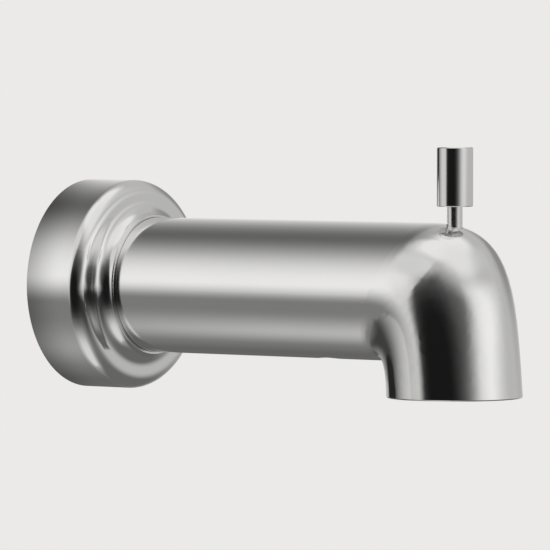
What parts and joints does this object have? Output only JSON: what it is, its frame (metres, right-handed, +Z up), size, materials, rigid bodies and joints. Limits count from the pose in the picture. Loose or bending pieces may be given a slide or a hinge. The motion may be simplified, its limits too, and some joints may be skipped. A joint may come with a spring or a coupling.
{
  "type": "bath spout",
  "caption": "Wall-mounted bath spout: straight round tube turning down into a round outlet, stepped escutcheon at the wall, pull-up diverter knob on the crown.",
  "frame": {"origin": "on the axis of the straight tube, in the plane of the wall that the escutcheon rests against", "axes": "+X out of the wall along the spout, +Z up along the lift rod, +Y to the left as seen from the tip looking at the wall"},
  "size_m": [0.17, 0.0698, 0.0817],
  "materials": {
    "polished_chrome": "polished",
    "knob_chrome": "polished",
    "cast_brass": "machined",
    "steel": "satin",
    "black_steel": "black oxide",
    "nitrile": "matt",
    "foam": "closed-cell foam",
    "acetal": "satin",
    "dark_acetal": "satin"
  },
  "bodies": {
    "spout": {"spout_body": "polished_chrome", "wall_flange": "polished_chrome", "flange_gasket": "foam", "inlet_adapter": "cast_brass", "pipe_set_screw": "black_steel", "retaining_ring": "steel", "seat_nozzle": "acetal", "stem_gland": "cast_brass", "stem_o_ring": "nitrile", "flange_o_ring": "nitrile", "pipe_o_ring_front": "nitrile", "pipe_o_ring_rear": "nitrile", "nozzle_o_ring": "nitrile"},
    "diverter": {"lift_rod": "steel", "diverter_knob": "knob_chrome", "stop_clip": "steel", "gate": "dark_acetal", "gate_washer": "nitrile", "rod_nut": "steel", "lock_washer": "steel"}
  },
  "joints": [
    {"name": "diverter_lift", "type": "slide", "parent": "spout", "child": "diverter", "axis": [0, 0, 1], "range_m": [0, 0.0155]}
  ]
}
